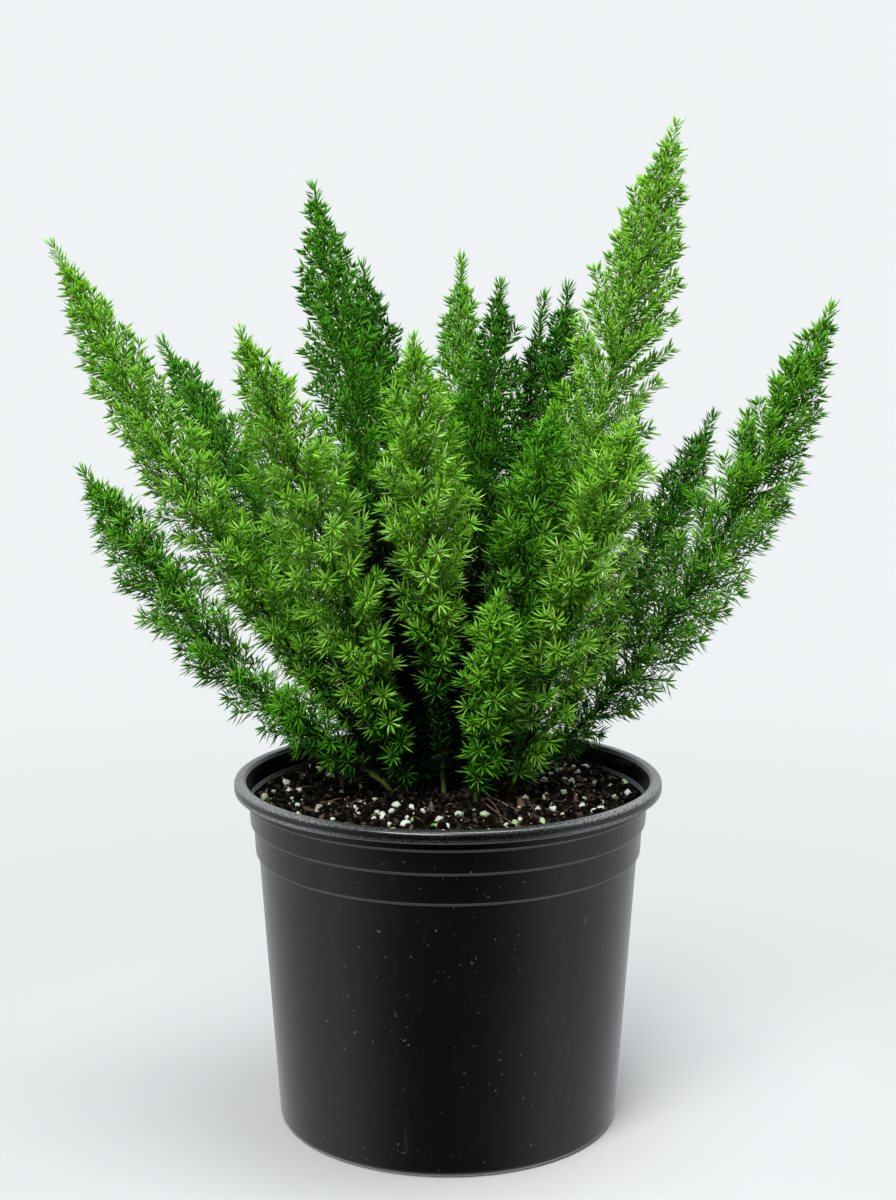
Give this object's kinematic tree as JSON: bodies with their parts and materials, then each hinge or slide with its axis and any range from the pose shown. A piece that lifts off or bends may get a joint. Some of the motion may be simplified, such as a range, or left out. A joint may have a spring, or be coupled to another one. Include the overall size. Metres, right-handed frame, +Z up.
{
  "type": "potted foxtail fern",
  "caption": "Upright feathery green plumes rising from dark potting soil in a round black nursery pot with a rolled rim; stands on its flat base.",
  "frame": {"origin": "middle of the pot's flat underside, on the surface it stands on", "axes": "+Z up, -Y towards the viewer at the front of the plant, +X to the viewer's right"},
  "size_m": [0.3926, 0.2876, 0.5148],
  "materials": {
    "pot_plastic": "satin",
    "potting_mix": "matte",
    "crown_bark": "matte",
    "stem_green": "satin",
    "needles": "satin"
  },
  "bodies": {
    "root": {"nursery_pot": "pot_plastic", "potting_soil": "potting_mix", "root_crown": "crown_bark", "stem_far_left": "stem_green", "foliage_far_left": "needles", "stem_low_left": "stem_green", "foliage_low_left": "needles", "stem_back_left": "stem_green", "foliage_back_left": "needles", "stem_front_left": "stem_green", "foliage_front_left": "needles", "stem_tall_left": "stem_green", "foliage_tall_left": "needles", "stem_rear_left": "stem_green", "foliage_rear_left": "needles", "stem_far_back": "stem_green", "foliage_far_back": "needles", "stem_front_mid": "stem_green", "foliage_front_mid": "needles", "stem_mid_right": "stem_green", "foliage_mid_right": "needles", "stem_slim_right": "stem_green", "foliage_slim_right": "needles", "stem_tall_right": "stem_green", "foliage_tall_right": "needles", "stem_rear_right": "stem_green", "foliage_rear_right": "needles", "stem_far_right": "stem_green", "foliage_far_right": "needles", "stem_small_right": "stem_green", "foliage_small_right": "needles", "stem_front_right": "stem_green", "foliage_front_right": "needles", "stem_inner_right": "stem_green", "foliage_inner_right": "needles", "stem_short_front": "stem_green", "foliage_short_front": "needles", "stem_low_side": "stem_green", "foliage_low_side": "needles", "stem_back_slant": "stem_green", "foliage_back_slant": "needles", "stem_back_right": "stem_green", "foliage_back_right": "needles", "stem_back_mid": "stem_green", "foliage_back_mid": "needles", "stem_back_side": "stem_green", "foliage_back_side": "needles"}
  },
  "joints": []
}
